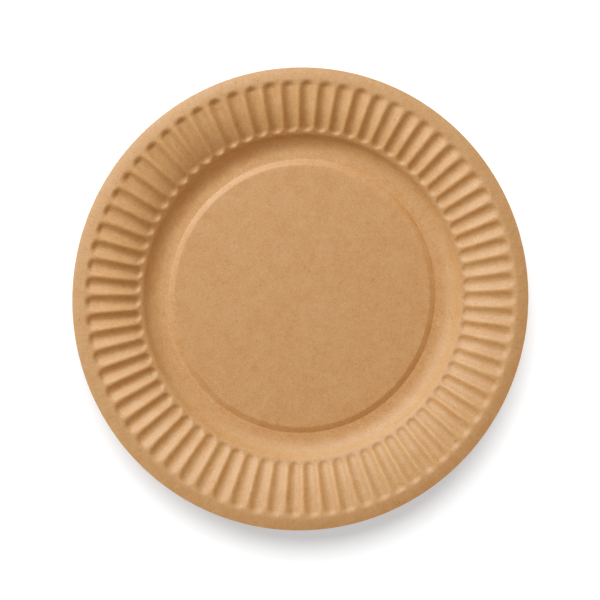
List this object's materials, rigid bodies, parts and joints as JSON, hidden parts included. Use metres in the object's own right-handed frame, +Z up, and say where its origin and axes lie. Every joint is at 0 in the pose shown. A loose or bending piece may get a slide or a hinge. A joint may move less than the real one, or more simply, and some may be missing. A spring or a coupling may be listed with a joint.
{
  "type": "paper plate",
  "caption": "Round pressed kraft board plate with a raised flat centre, a coved wall, a band of radial flutes and a gently rolled rim.",
  "frame": {"origin": "on the plate's axis, in the plane of the standing ring that the plate rests on", "axes": "+Z up along the plate's axis, out of the dish; +X and +Y are alike"},
  "size_m": [0.2299, 0.23, 0.0182],
  "materials": {
    "kraft_board": "matt unbleached kraft board"
  },
  "bodies": {
    "root": {"plate": "kraft_board"}
  },
  "joints": []
}
